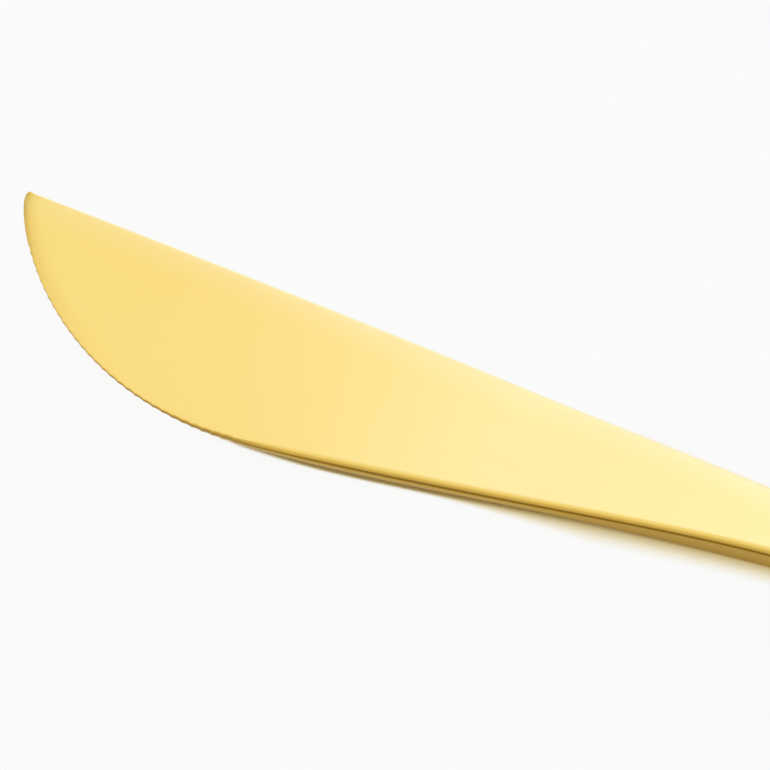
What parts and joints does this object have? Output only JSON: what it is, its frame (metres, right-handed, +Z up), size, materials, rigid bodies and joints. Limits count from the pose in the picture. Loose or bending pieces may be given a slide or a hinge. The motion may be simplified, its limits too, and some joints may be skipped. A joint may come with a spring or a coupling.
{
  "type": "table knife",
  "caption": "Slim table knife with a broad curved blade, a finely scalloped cutting edge, a narrow neck and a long flat handle with a rounded butt, in satin gold.",
  "frame": {"origin": "on the flat underside of the handle, midway along it and on the handle's axis", "axes": "+X from the blade's tip towards the butt, +Y towards the spine, +Z up, with the knife lying on its flat side"},
  "size_m": [0.23, 0.0222, 0.0039],
  "materials": {
    "blade_gold": "stainless steel under a thin gold coat, satin, with fine brushing along the blade",
    "handle_gold": "stainless steel under a thin gold coat, satin, with fine brushing along the handle",
    "seam_gold": "silver solder dressed flush and gold coated with the rest",
    "filler_resin": "cured grey filling resin, hidden",
    "weight_steel": "plain cut steel bar, hidden"
  },
  "bodies": {
    "root": {"blade": "blade_gold", "solder_ring": "seam_gold", "handle_upper_shell": "handle_gold", "handle_lower_shell": "handle_gold", "handle_filler": "filler_resin", "balance_weight": "weight_steel"}
  },
  "joints": []
}
